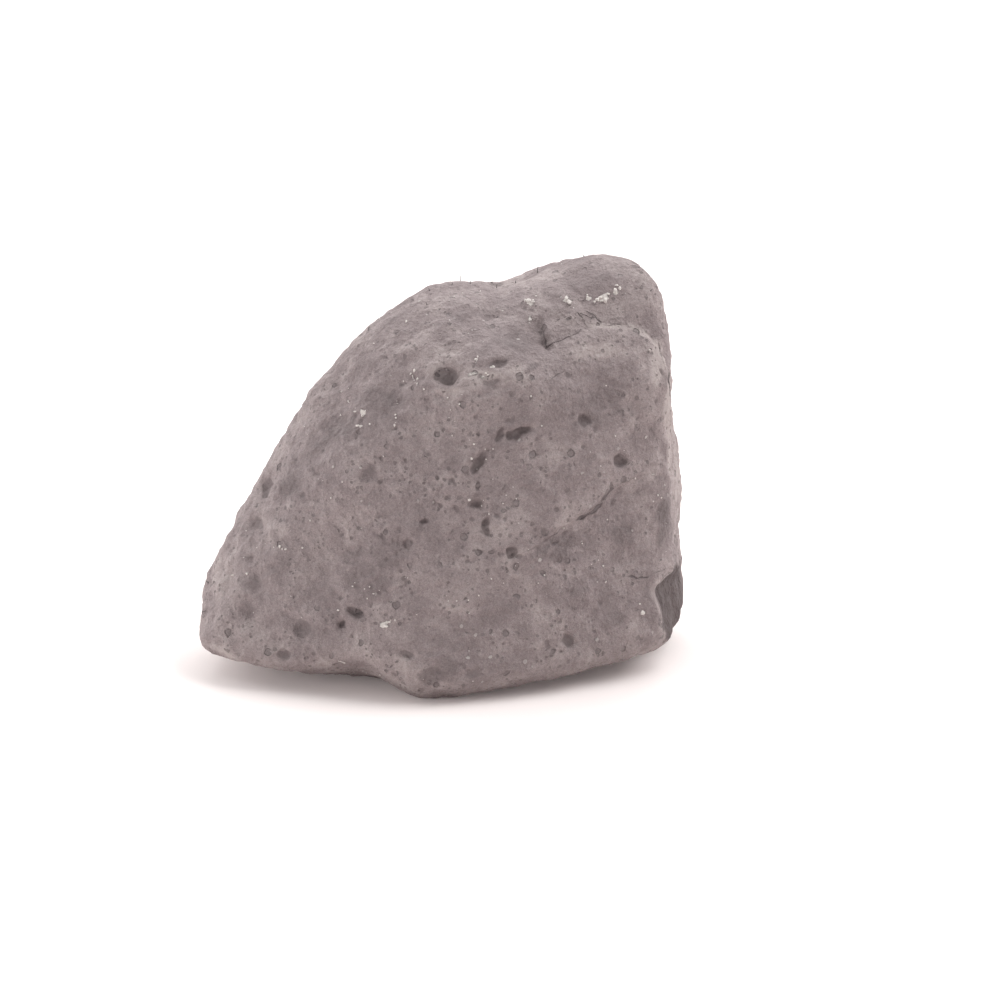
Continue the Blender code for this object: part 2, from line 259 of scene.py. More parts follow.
# Waves of paler and darker skin: wavelength, strength, seed.
TONE_WAVES = [
    (16, 0.032, 71),
    (7, 0.042, 72),
    (3.2, 0.04, 73),
]
# Stains and painted light and shade on the front: across, up, half width, half height, slant, strength. Negative is
# darker. They fade out round the side, by the normal's share towards the front: the share halfway down the fade, and
# the fade's half width.
FRONT_FADE = (0.1, 0.2)
STAINS_AND_PAINTED_LIGHT_AND_SHADE = [
    # Darker: the band over the left shoulder; painted shade on the shaded side of the notch, in the hollow on the slab
    # and below the long crack, where the step faces down; and patches down the front.
    (-11, 33, 7.5, 3.5, 25, -0.2),
    (-12, 33.5, 2, 2, 60, -0.2),
    (-7, 37, 3.5, 1.5, 0, -0.2),
    (-18.5, 27, 1.5, 3, -20, -0.3),
    (9.5, 44, 3, 1.5, -12, -0.4),
    (11, 40.5, 1, 0.5, 20, -0.4),
    (19, 37, 5, 4, 0, -0.15),
    (6.5, 22.5, 1, 1.5, 0, -0.3),
    (2.5, 18.5, 1, 1, 0, -0.3),
    (15.5, 18.5, 3.5, 2, 5, -0.4),
    (22.5, 20, 1.5, 1.5, 0, -0.4),
    (27.5, 21.5, 1, 3, 0, -0.4),
    (20.5, 11, 2.5, 2.5, 0, -0.2),
    (-10.5, 16.5, 3, 3, 0, -0.2),
    (-6.5, 17.5, 2, 2, 0, -0.25),
    (-7.5, 14, 1.5, 2, 0, -0.25),
    (-13, 20, 1, 2, 0, -0.25),
    (0.5, 4, 1.5, 1.5, 0, -0.3),
    (-24, 11, 1, 1, 0, -0.2),
    (-23, 14.5, 1, 1, 0, -0.2),
    # Paler: round the large pits; painted light along the slab's lip and over its top; under the long crack; and
    # painted light down the right edge, where the flank faces the light.
    (5.5, 39.5, 1.5, 0.5, 0, 0.5),
    (-0.5, 40, 1, 1.5, -20, 0.3),
    (1, 37.5, 2, 0.5, 0, 0.3),
    (4, 39, 1.5, 1.5, 0, 0.3),
    (21, 46, 2.5, 0.5, 0, 0.4),
    (25, 45, 2, 0.5, -35, 0.5),
    (19, 42.5, 4, 1, 0, 0.25),
    (23, 49, 3.5, 2, 0, 0.2),
    (9, 32.5, 3, 0.5, 20, 0.3),
    (9.5, 18, 2.5, 0.5, 20, 0.3),
    (26.5, 41.5, 0.7, 3, -8, 0.6),
    (28, 38, 0.6, 2.5, 3, 0.5),
    (28, 32, 0.7, 5.5, 5, 0.6),
    (28.5, 25, 0.7, 4, 0, 0.4),
    (27, 14, 1, 0.7, -35, 0.6),
    (-27, 6, 2.5, 0.5, -20, 0.3),
    (-27, 15.5, 1.5, 4, -15, 0.2),
]

# Crusts of the pale mineral on the front, in the same way.
CRUSTS = [
    (4.6, 39.4, 1.3, 0.5, -10, 0.45),
    (2.9, 39.6, 1.0, 0.4, 0, 0.4),
    (5.0, 36.6, 1.2, 0.4, 10, 0.3),
    (19.3, 49.2, 0.74, 0.40, 20, 1),
    (20.0, 49.7, 0.62, 0.32, 50, 1),
    (21.3, 50.1, 0.45, 0.40, 60, 1),
    (17.8, 49.2, 0.27, 0.22, 0, 1),
    (15.3, 48.8, 0.57, 0.30, -42, 1),
    (10.7, 48.5, 0.57, 0.30, -20, 1),
    (10.7, 47.0, 0.37, 0.20, 0, 1),
    (-6.9, 9.4, 0.50, 0.42, 0, 1),
    (-12.1, 4.7, 0.45, 0.20, -35, 1),
    (-3.7, 39.7, 0.42, 0.25, -60, 1),
    (6.1, 40.6, 0.50, 0.22, 20, 1),
    (4.2, 41.4, 0.37, 0.22, -30, 1),
    (-9.8, 35.1, 0.50, 0.30, -30, 1),
    (-9.7, 33.4, 0.45, 0.32, 0, 1),
]
# Pale mineral grains on the front: across, up, size. Each has smaller ones beside it, and finer ones lie all over.
GRAINS = [
    (-3.5, 40.4, 0.4), (-3.2, 39.4, 0.4), (-4, 40.1, 0.2), (-5, 39.2, 0.25), (-3.1, 38.7, 0.25), (-2.2, 37.9, 0.25),
    (4.2, 41.4, 0.4), (5.4, 39.7, 0.3), (6.3, 40.6, 0.5), (10.8, 37, 0.25), (12.2, 33.4, 0.25), (3.7, 29.4, 0.35),
    (10.2, 48.7, 0.35), (10.6, 48.6, 0.55), (11.2, 48.5, 0.5), (10.8, 46.9, 0.25), (15.2, 49.1, 0.65),
    (15.6, 48.6, 0.6), (17.8, 49.4, 0.45), (19, 49.1, 0.5), (19.4, 49.4, 0.5), (20, 49.1, 0.6), (20.4, 49.8, 0.5),
    (21.2, 50.1, 0.65), (21.4, 50.7, 0.35), (-9.4, 35.2, 0.3), (-10.6, 35.2, 0.3), (-9.7, 34.7, 0.35),
    (-10.2, 33.4, 0.3), (-8.6, 33.6, 0.25), (-12.7, 34.9, 0.2), (-11.8, 36.7, 0.2), (-5.7, 36.3, 0.2),
    (-5.6, 34.4, 0.3), (-5.7, 33.5, 0.3), (2.2, 36, 0.2), (7.4, 47.6, 0.2), (-4.3, 46.1, 0.3), (1, 46.1, 0.2),
    (-19.7, 18.7, 0.4), (-19, 18.4, 0.35), (-17.1, 18.6, 0.25), (-16, 21.9, 0.25), (-25.9, 15.3, 0.3),
    (-23.9, 15.4, 0.3), (-12.6, 11, 0.35), (-7.3, 9.1, 0.3), (-6.7, 9.1, 0.55), (-6.3, 9.6, 0.3), (3.4, 24.4, 0.35),
    (15.1, 20.9, 0.3), (17.5, 19, 0.25), (20.5, 21.9, 0.2), (23.8, 27, 0.25), (20.2, 14.3, 0.2), (24.2, 11.7, 0.3),
    (24.5, 10.6, 0.5),
]
GRAIN_SEED = 17
GRAIN_CELLS = 3
# A grain's middle stands this share of its size off the skin. Its points and its half widths vary by these shares.
GRAIN_LIFT = 0.15
GRAIN_CORNERS = (0.7, 1.2)
GRAIN_WIDTHS = (0.6, 1.3)
# The smaller grains beside each: how many, how far off, and how big, as shares of its size.
SATELLITES = 1
SATELLITE_SPREAD = 0.75
SATELLITE_SIZE = (0.3, 0.8)
# The fine grains: how many, size, the wave that gathers them (wavelength, seed) and the least it comes to there.
FINE_GRAINS = 260
FINE_GRAIN_SIZE = (0.08, 0.24)
FINE_GRAIN_WAVE = (9, 91)
FINE_GRAIN_LEAST = 0.7
FINE_GRAIN_LOWEST = 1
TRIES_PER_FINE_GRAIN = 6
# Iron splinters held by the stone: across, up, lean, length. A few more stand here and there on top.
SPLINTERS = [
    (2.2, 51.3, -2, 1.1),
    (3.4, 50.8, 4, 0.6),
    (6.7, 50.7, 12, 0.5),
    (11.6, 52.7, -3, 1.2),
    (-28.8, 14.2, -60, 0.7),
    (-1.5, 50.0, -10, 0.4),
    (25.7, 50.2, 35, 0.4),
    (1.2, 50.8, 3, 0.4),
    (8.9, 51.4, -8, 0.4),
]
MORE_SPLINTERS = 9
MORE_SPLINTER_LENGTH = (0.25, 0.6)
MORE_SPLINTER_LEAN = 0.5
MORE_SPLINTER_LOWEST = 12
TRIES_PER_SPLINTER = 4
SPLINTER_SEED = 23
SPLINTER_RINGS = 5
SPLINTER_SIDES = 6
# A splinter's radius at the foot, and how much of it is gone at the tip. As shares of its length, how deep its foot is
# sunk and how far its tip bends aside. And how strongly those on the skyline also lean off the skin.
SPLINTER_RADIUS = 0.07
SPLINTER_TAPER = 0.8
SPLINTER_SUNK = 0.1
SPLINTER_BEND = 0.25
OFF_THE_SKIN = 0.3

# Lumps: wavelength, height, seed. The small ones stand higher in some places: place, radius, how many more times.
LUMPS = [
    (15, 0.20, 2),
    (6.5, 0.10, 7),
]
SMALL_LUMPS = [
    (3.0, 0.06, 8),
    (1.4, 0.04, 9),
]
ROUGH_PLACES = [
    ((-26, -9, 9), 9, 1.4),
    ((0.5, -10.5, 38.5), 5, 1.0),
    ((15.6, -2.6, 44.5), 3, 1.6),
]
WAVES = 24
WAVE_SPREAD = (0.7, 1.4)

# The skin is found along lines that leave this egg at right angles.
CORE_CENTRE = np.array((3.0, 1.0, 20.0))
CORE_HALF = np.array((15.0, 6.0, 9.0))
FAR_OUT = 60
INWARD_STEPS = 60
STEP_SHARE = 0.95
NORMAL_REACH = 0.05

# The flat that the stone rests on, and the middle of its outline seen from above.
FLOOR = -0.8
MIDDLE = (0.03, 1.98)
MILLIMETRE = 0.001

# Cells along each side of the six grids, and how far they are drawn to the front, where the detail is finest.
GRID = 128
DRAWN_FORWARD = 0.4


def facing(azimuth, elevation):
    """The unit vector of a facing."""
    turn = np.radians(azimuth)
    tip = np.radians(elevation)
    return np.array((np.sin(turn) * np.cos(tip), -np.cos(turn) * np.cos(tip), np.sin(tip)))


TOWARDS = facing(0, LEAN)
UPWARDS = facing(180, 90 - LEAN)
ACROSS = np.array((1.0, 0.0, 0.0))


def rounded_max(first, second, softness):
    """The larger of two distances, plus a quarter of the squared overlap over the softness where they come near."""
    overlap = np.maximum(softness - np.abs(first - second), 0)
    return np.maximum(first, second) + overlap**2 / (4 * softness)


def rounded_min(first, second, softness):
    return -rounded_max(-first, -second, softness)


def ramp(distance, half_width):
    """A smooth step from 0 to 1 across zero: three times the square of the share less twice its cube."""
    share = np.clip(0.5 + distance / (2 * half_width), 0, 1)
    return share * share * (3 - 2 * share)


def within_facets(points, table):
    """How far each point lies outside the rounded solid that the facets bound: the rounded maximum of its distances
    to their planes."""
    outside = None
    for azimuth, elevation, place, softness in table:
        distance = (points - np.array(place)) @ facing(azimuth, elevation)
        outside = distance if outside is None else rounded_max(outside, distance, softness)
    return outside


def swelling(points):
    """A sum of round bells: each is its height times e to minus the squared distance over the squared radius."""
    height = np.zeros(len(points))
    for place, radius, rise in SWELLS:
        apart = ((points - np.array(place)) ** 2).sum(axis=1)
        height += rise * np.exp(-apart / radius**2)
    return height


def form(points):
    """How far each point lies outside the stone's form: hump, slab and cap joined, held in the hull, swollen and
    dented, and broken at one corner between two planes."""
    top = rounded_min(within_facets(points, HUMP), within_facets(points, SLAB), HUMP_TO_SLAB)
    top = rounded_min(top, within_facets(points, CAP), CAP_TO_REST)
    whole = rounded_max(top, within_facets(points, HULL), TOP_TO_HULL) - swelling(points)
    upper = (points - np.array(CHIP_UPPER_AT)) @ facing(*CHIP_UPPER)
    lower = (points - np.array(CHIP_LOWER_AT)) @ facing(*CHIP_LOWER)
    return rounded_max(whole, rounded_min(upper, lower, CHIP_CREASE), CHIP_EDGE)


def outward(points):
    """The form's unit normals: the slope of its distance along each axis, divided by the length of the three."""
    steps = NORMAL_REACH * np.eye(3)
    normals = np.stack([form(points + step) - form(points - step) for step in steps], axis=1)
    return normals / np.linalg.norm(normals, axis=1, keepdims=True)


def march(starts, directions):
    """The form's outermost point along each line, reached by stepping in by a share of the distance that is left."""
    along = np.full(len(starts), float(FAR_OUT))
    for _ in range(INWARD_STEPS):
        along -= STEP_SHARE * form(starts + along[:, None] * directions)
    return starts + along[:, None] * directions


def seen_at(places):
    """The points of the form behind these places on the leaning plane, each an across and an up."""
    places = np.array(places, float)
    starts = np.array(FRONT_FOOT) + places[:, :1] * ACROSS + places[:, 1:2] * UPWARDS
    return march(starts, np.broadcast_to(TOWARDS, starts.shape))


def on_drawing(points):
    from_foot = points - np.array(FRONT_FOOT)
    return from_foot @ ACROSS, from_foot @ UPWARDS


def made_uneven(points):
    """The points, each shifted along the three axes by short waves."""
    shifts = [sum(far * waves(points, length, seed + axis) for length, far, seed in UNEVEN) for axis in range(3)]
    return points + np.stack(shifts, axis=1)


def near(points, place):
    return ((points - place) ** 2).sum(axis=1) < MARK_REACH**2


def waves(points, wavelength, seed):
    """Sine waves in many directions, each of its own length near the one named, added up and brought to a spread of
    about one."""
    draw = np.random.default_rng(seed)
    ways = draw.normal(size=(WAVES, 3))
    ways /= np.linalg.norm(ways, axis=1, keepdims=True)
    ways *= 2 * np.pi / wavelength * draw.uniform(*WAVE_SPREAD, (WAVES, 1))
    phases = draw.uniform(0, 2 * np.pi, WAVES)
    return np.sin(points @ ways.T + phases).sum(axis=1) * np.sqrt(2 / WAVES)


def lumps(points):
    """Waves of a few lengths added up. The short ones are raised near the rough places by e to minus the square of
    the distance."""
    rough = 1.0
    for place, radius, more in ROUGH_PLACES:
        rough = rough + more * np.exp(-np.sum((points - np.array(place)) ** 2, axis=1) / radius**2)
    small = sum(rise * waves(points, wavelength, seed) for wavelength, rise, seed in SMALL_LUMPS)
    return sum(rise * waves(points, wavelength, seed) for wavelength, rise, seed in LUMPS) + rough * small


def joint(points):
    """A recess behind the joint's two planes: full at the lip and fading out behind it as e to minus the distance."""
    behind_right = (points - np.array(JOINT_AT)) @ facing(*JOINT_FACING)
    behind_left = (points - np.array(JOINT_LEFT_AT)) @ facing(*JOINT_LEFT_FACING)
    behind = rounded_max(behind_right, behind_left, JOINT_CORNER)
    kept = ramp(points[:, 0] - JOINT_LEFT_END[0], JOINT_LEFT_END[1])
    kept *= ramp(points[:, 2] - JOINT_LOW_END[0], JOINT_LOW_END[1])
    recess = ramp(behind + JOINT_LEAD, JOINT_LIP) * np.exp(-np.maximum(behind, 0) / JOINT_FADE)
    return JOINT_DEPTH * kept * recess


def hollows(points):
    """Round bells cut in: each is its depth times e to minus the squared distance over the squared radius."""
    depth = np.zeros(len(points))
    for row, place in zip(HOLLOWS, seen_at([row[:2] for row in HOLLOWS])):
        depth += row[3] * np.exp(-((points - place) ** 2).sum(axis=1) / row[2] ** 2)
    return depth


def pits(points):
    """Flat-bottomed ovals: depth over one plus a power of the squared distance across the oval. With it comes how far
    into a pit each point lies, which sets the painted shade, and how near to a pit's rim."""
    across, up = on_drawing(points)
    depth = np.zeros(len(points))
    inside = np.zeros(len(points))
    rim = np.zeros(len(points))
    places = seen_at([row[:2] for row in PITS])
    for (pit_across, pit_up, half_width, half_height, slant, deep, steepness), place in zip(PITS, places):
        turn = np.radians(slant)
        right = across - pit_across
        over = up - pit_up
        along = (right * np.cos(turn) + over * np.sin(turn)) / half_width
        aside = (over * np.cos(turn) - right * np.sin(turn)) / half_height
        squared = along**2 + aside**2
        share = near(points, place) / (1 + squared**steepness)
        depth += deep * share
        inside = np.maximum(inside, share * min(1, deep / DARKEST_PIT))
        rim = np.maximum(rim, near(points, place) * np.exp(-((np.sqrt(squared) - RIM_AT) / RIM_WIDTH) ** 2))
    return depth, inside, rim


def between_edges(across, up, edges, widening=0.0):
    """The product of one smooth step for each edge."""
    inside = np.ones(len(across))
    for edge_across, edge_up, inward, width in edges:
        turn = np.radians(inward)
        distance = (across - edge_across) * np.cos(turn) + (up - edge_up) * np.sin(turn)
        inside *= ramp(distance + widening, width)
    return inside


def kept_near(points, place, reach, fade):
    return ramp(reach - np.linalg.norm(points - seen_at([place])[0], axis=1), fade)


def scars(points):
    """Steps between edges that wander to and fro."""
    across, up = on_drawing(points)
    for wavelength, way, shift in SCAR_WAVES:
        turn = np.radians(way)
        up = up + shift * np.sin(2 * np.pi / wavelength * (across * np.cos(turn) + up * np.sin(turn)))
    depth = np.zeros(len(points))
    for middle, deep, edges in SCARS:
        depth += deep * kept_near(points, middle, MARK_REACH, SCAR_FADE) * between_edges(across, up, edges)
    return depth


def darkened_break(points):
    """How far each point lies in the broken corner, and how near to the pale rim just outside it."""
    middle, reach, fade, edges = BREAK
    across, up = on_drawing(points)
    kept = kept_near(points, middle, reach, fade)
    inside = between_edges(across, up, edges)
    rim = between_edges(across, up, edges, BREAK_RIM) * (1 - inside)
    return kept * inside, kept * rim


def cracks(points):
    """For each point, the distance to the nearest crack, negative on one side of it, and that crack's half width
    there, which is one less the fourth power of the way from its middle. Out of a crack's reach the width is 0."""
    across, up = on_drawing(points)
    apart = np.full(len(points), np.inf)
    aside = np.full(len(points), CRACK_REACH)
    width = np.zeros(len(points))
    middles = seen_at([line[len(line) // 2] for _, line in CRACKS])
    for (half_width, line), middle in zip(CRACKS, middles):
        line = np.array(line)
        ways = np.diff(line, axis=0)
        lengths = np.linalg.norm(ways, axis=1)
        behind = np.cumsum(lengths) - lengths
        for start, way, length, run in zip(line, ways, lengths, behind):
            right = across - start[0]
            over = up - start[1]
            share = np.clip((right * way[0] + over * way[1]) / length**2, 0, 1)
            gap = np.hypot(right - share * way[0], over - share * way[1])
            gap[~near(points, middle)] = np.inf
            closer = (gap < apart) & (gap < CRACK_REACH)
            from_middle = 2 * (run + share * length) / lengths.sum() - 1
            apart[closer] = gap[closer]
            aside[closer] = (gap * np.sign(way[0] * over - way[1] * right))[closer]
            width[closer] = (half_width * (1 - from_middle**4))[closer]
    return aside, width


def skin_line(sphere):
    """The form's point for each direction: a line leaves the egg at right angles and meets the form once."""
    leaving = sphere / CORE_HALF
    leaving /= np.linalg.norm(leaving, axis=1, keepdims=True)
    return march(CORE_CENTRE + CORE_HALF * sphere, leaving)


def far_pits(points):
    """Round pits on the sides that face away: depth over one plus the sixth power of the distance over the radius."""
    draw = np.random.default_rng(FAR_PIT_SEED)
    tries = draw.normal(size=(TRIES_PER_FAR_PIT * FAR_PITS, 3))
    places = skin_line(tries / np.linalg.norm(tries, axis=1, keepdims=True))
    hidden = (outward(places) @ TOWARDS < MOST_TOWARDS_DRAWING) & (places[:, 2] > FAR_PIT_LOWEST)
    radii = draw.uniform(*FAR_PIT_RADIUS, len(places))
    inside = np.zeros(len(points))
    for place, radius in zip(places[hidden][:FAR_PITS], radii[hidden][:FAR_PITS]):
        apart = ((points - place) ** 2).sum(axis=1) / radius**2
        inside += 1 / (1 + apart**3)
    return FAR_PIT_DEPTH * inside, inside


def small_pits(points):
    """Many small bowls, where a broad wave of the skin lets them: depth times e to minus the fourth power of the
    distance over the radius."""
    draw = np.random.default_rng(SMALL_PIT_SEED)
    tries = draw.normal(size=(TRIES_PER_SMALL_PIT * SMALL_PITS, 3)) - (0, DRAWN_FORWARD, 0)
    places = skin_line(tries / np.linalg.norm(tries, axis=1, keepdims=True))
    gathered = waves(places, *SMALL_PIT_WAVE) + SMALL_PIT_CHANCE * draw.normal(size=len(places))
    places = places[gathered > SMALL_PIT_LEAST][:SMALL_PITS]
    radii = draw.uniform(*SMALL_PIT_RADIUS, len(places)) * draw.uniform(*SMALL_PIT_SHRINK, len(places))
    depth = np.zeros(len(points))
    inside = np.zeros(len(points))
    for place, radius in zip(places, radii):
        close = np.flatnonzero((np.abs(points - place) < 2 * radius).all(axis=1))
        apart = ((points[close] - place) ** 2).sum(axis=1) / radius**2
        bowl = np.exp(-(apart**2))
        depth[close] += SMALL_PIT_DEPTH * radius * bowl
        inside[close] = np.maximum(inside[close], bowl)
    return depth, inside


def ovals(points, table):
    """The sum of soft ovals, each its strength times e to minus the fourth power of the distance across the oval."""
    across, up = on_drawing(points)
    total = np.zeros(len(points))
    for oval_across, oval_up, half_width, half_height, slant, strength in table:
        turn = np.radians(slant)
        right = across - oval_across
        over = up - oval_up
        along = (right * np.cos(turn) + over * np.sin(turn)) / half_width
        aside = (over * np.cos(turn) - right * np.sin(turn)) / half_height
        total += strength * np.exp(-((along**2 + aside**2) ** 2))
    return total


def colouring(points):
    """How pale the skin is, from its stains and the painted light and shade on the front and from waves some
    millimetres long, and how much pale crust it has. The stains, the painted light and shade and the crusts are on the
    front only."""
    fronts = ramp(outward(points) @ TOWARDS - FRONT_FADE[0], FRONT_FADE[1])
    tone = sum(strength * waves(points, length, seed) for length, strength, seed in TONE_WAVES)
    return tone + fronts * ovals(points, STAINS_AND_PAINTED_LIGHT_AND_SHADE), fronts * ovals(points, CRUSTS)


def relief(points):
    """How far the skin stands out from the form at these points of it, and what the finish needs to know there."""
    marked = made_uneven(points)
    pit_depth, pit_inside, rim = pits(marked)
    far_depth, far_inside = far_pits(marked)
    small_depth, small_inside = small_pits(marked)
    broken, broken_rim = darkened_break(marked)
    aside, width = cracks(marked)
    tone, crust = colouring(marked)
    depth = joint(marked) + hollows(points) + scars(marked)
    depth += pit_depth + far_depth + small_depth
    marks = {
        # The pit mark is painted shade, darkest where the pits are deepest.
        "pit": np.maximum.reduce([pit_inside, far_inside, SMALL_PIT_DARKNESS * small_inside]),
        "rim": np.maximum(RIM_PALENESS * rim, broken_rim),
        "broken": broken,
        "crack aside": aside,
        "crack width": width,
        "tone": tone,
        "crust": crust,
    }
    return lumps(points) - depth, marks


def skin(sphere):
    """The stone's skin for points on the unit sphere, cut flat where it rests, and what its finish needs to know."""
    points = skin_line(sphere)
    height, marks = relief(points)
    placed = points + height[:, None] * outward(points)
    placed[:, 2] = np.maximum(placed[:, 2], FLOOR)
    return placed, marks


def cube_sphere(cells):
    """Six square grids of two parameters on the faces of a cube. A place's three coordinates are the tangents of its
    steps, and they are divided by their length, which draws the cube to a unit sphere. Points that two grids share
    are one."""
    steps = np.arange(cells + 1)
    first, second = np.meshgrid(steps, steps, indexing="ij")
    low = np.zeros_like(first)
    high = np.full_like(first, cells)
    sides = [
        (high, first, second),
        (low, second, first),
        (second, high, first),
        (first, low, second),
        (first, second, high),
        (second, first, low),
    ]
    lattice = np.concatenate([np.stack(side, axis=-1).reshape(-1, 3) for side in sides])
    numbers = lattice @ np.array(((cells + 1) ** 2, cells + 1, 1))
    _, kept, index = np.unique(numbers, return_index=True, return_inverse=True)
    directions = np.tan((lattice[kept] / cells - 0.5) * np.pi / 2)
    directions /= np.linalg.norm(directions, axis=1, keepdims=True)
    grid = np.arange((cells + 1) ** 2).reshape(cells + 1, cells + 1)
    corners = [grid[:-1, :-1], grid[1:, :-1], grid[1:, 1:], grid[:-1, 1:]]
    cell = np.stack(corners, axis=-1).reshape(-1, 4)
    faces = np.concatenate([cell + side * (cells + 1) ** 2 for side in range(6)])
    return directions, index.reshape(-1)[faces]


def on_skin(places):
    """The points of the skin over these points of the form, and the form's normals there."""
    height, _ = relief(places)
    normals = outward(places)
    return places + height[:, None] * normals, normals


def clustered(spots, sizes, draw):
    """The grains, each with a few smaller ones beside it."""
    beside = np.repeat(spots, SATELLITES, axis=0)
    apart = np.repeat(sizes, SATELLITES)[:, None] * draw.normal(0, SATELLITE_SPREAD, (len(beside), 3))
    smaller = np.repeat(sizes, SATELLITES) * draw.uniform(*SATELLITE_SIZE, len(beside))
    return np.concatenate([spots, beside + apart]), np.concatenate([sizes, smaller])


def scattered_grains(draw):
    """Places for the fine grains all over, where a broad wave of the skin lets them, and their sizes."""
    tries = draw.normal(size=(TRIES_PER_FINE_GRAIN * FINE_GRAINS, 3))
    places = skin_line(tries / np.linalg.norm(tries, axis=1, keepdims=True))
    kept = (waves(places, *FINE_GRAIN_WAVE) > FINE_GRAIN_LEAST) & (places[:, 2] > FINE_GRAIN_LOWEST)
    places = places[kept][:FINE_GRAINS]
    return places, draw.uniform(*FINE_GRAIN_SIZE, len(places))


def grains(spots, sizes, draw):
    """Small angular lumps: each is a coarse sphere of two parameters on each of six grids, whose points are drawn in
    and out and whose three half widths differ, set on the skin."""
    sphere, cells = cube_sphere(GRAIN_CELLS)
    feet, normals = on_skin(spots)
    middles = feet + GRAIN_LIFT * sizes[:, None] * normals
    reach = sphere * draw.uniform(*GRAIN_CORNERS, (len(sizes), len(sphere), 1))
    reach *= 0.5 * sizes[:, None, None] * draw.uniform(*GRAIN_WIDTHS, (len(sizes), 1, 3))
    points = (middles[:, None] + reach).reshape(-1, 3)
    faces = (cells + len(sphere) * np.arange(len(sizes))[:, None, None]).reshape(-1, 4)
    return points, faces


def splinters():
    """Thin bent spikes of two parameters, the way round and the way along: rings whose radius falls evenly from the
    foot to the tip, on a middle line that bends as the square of the way along. A point closes each end."""
    draw = np.random.default_rng(SPLINTER_SEED)
    listed = np.array(SPLINTERS)
    feet, normals = on_skin(seen_at(listed[:, :2]))
    turn = np.radians(listed[:, 2])[:, None]
    ways = OFF_THE_SKIN * normals + np.sin(turn) * ACROSS + np.cos(turn) * UPWARDS
    lengths = listed[:, 3]
    tries = draw.normal(size=(TRIES_PER_SPLINTER * MORE_SPLINTERS, 3)) + (0, 0, 1)
    places = skin_line(tries / np.linalg.norm(tries, axis=1, keepdims=True))
    places = places[places[:, 2] > MORE_SPLINTER_LOWEST][:MORE_SPLINTERS]
    more_feet, more_normals = on_skin(places)
    more_ways = more_normals + draw.normal(0, MORE_SPLINTER_LEAN, more_normals.shape)
    feet = np.concatenate([feet, more_feet])
    ways = np.concatenate([ways, more_ways])
    ways /= np.linalg.norm(ways, axis=1, keepdims=True)
    lengths = np.concatenate([lengths, draw.uniform(*MORE_SPLINTER_LENGTH, len(more_feet))])
    bends = np.cross(ways, draw.normal(size=ways.shape))
    bends /= np.linalg.norm(bends, axis=1, keepdims=True)
    asides = np.cross(ways, bends)
    share = np.linspace(0, 1, SPLINTER_RINGS)[:, None]
    angle = np.linspace(0, 2 * np.pi, SPLINTER_SIDES, endpoint=False)[None]
    along = (share - SPLINTER_SUNK) * lengths[:, None, None]
    radius = SPLINTER_RADIUS * (1 - SPLINTER_TAPER * share)
    bent = SPLINTER_BEND * lengths[:, None, None] * share**2
    first = bent + radius * np.cos(angle)
    second = radius * np.sin(angle) + 0 * along
    rings = along[..., None] * ways[:, None, None] + first[..., None] * bends[:, None, None]
    rings = rings + second[..., None] * asides[:, None, None] + feet[:, None, None]
    count = len(feet)
    ends = rings[:, [0, -1]].mean(axis=2)
    points = np.concatenate([rings.reshape(count, -1, 3), ends], axis=1)
    lattice = np.arange(SPLINTER_RINGS * SPLINTER_SIDES).reshape(SPLINTER_RINGS, SPLINTER_SIDES)
    after = np.roll(lattice, -1, axis=1)
    walls = np.stack([lattice[:-1], after[:-1], after[1:], lattice[1:]], axis=-1).reshape(-1, 4)
    foot = np.stack([after[0], lattice[0], np.full(SPLINTER_SIDES, lattice.size)], axis=-1)
    tip = np.stack([lattice[-1], after[-1], np.full(SPLINTER_SIDES, lattice.size + 1)], axis=-1)
    steps = (lattice.size + 2) * np.arange(count)[:, None, None]
    faces = (walls + steps).reshape(-1, 4).tolist() + (np.concatenate([foot, tip]) + steps).reshape(-1, 3).tolist()
    return points.reshape(-1, 3), faces


def placed_mesh(name, points, faces, finish):
    """A smooth mesh object from points in the stone's own millimetres."""
    data = bpy.data.meshes.new(name)
    points = (points - np.array((*MIDDLE, FLOOR))) * MILLIMETRE
    data.from_pydata(points, [], faces)
    data.polygons.foreach_set("use_smooth", np.ones(len(faces), bool))
    data.materials.append(finish)
    data.update()
    piece = bpy.data.objects.new(name, data)
    bpy.context.scene.collection.objects.link(piece)
    return piece


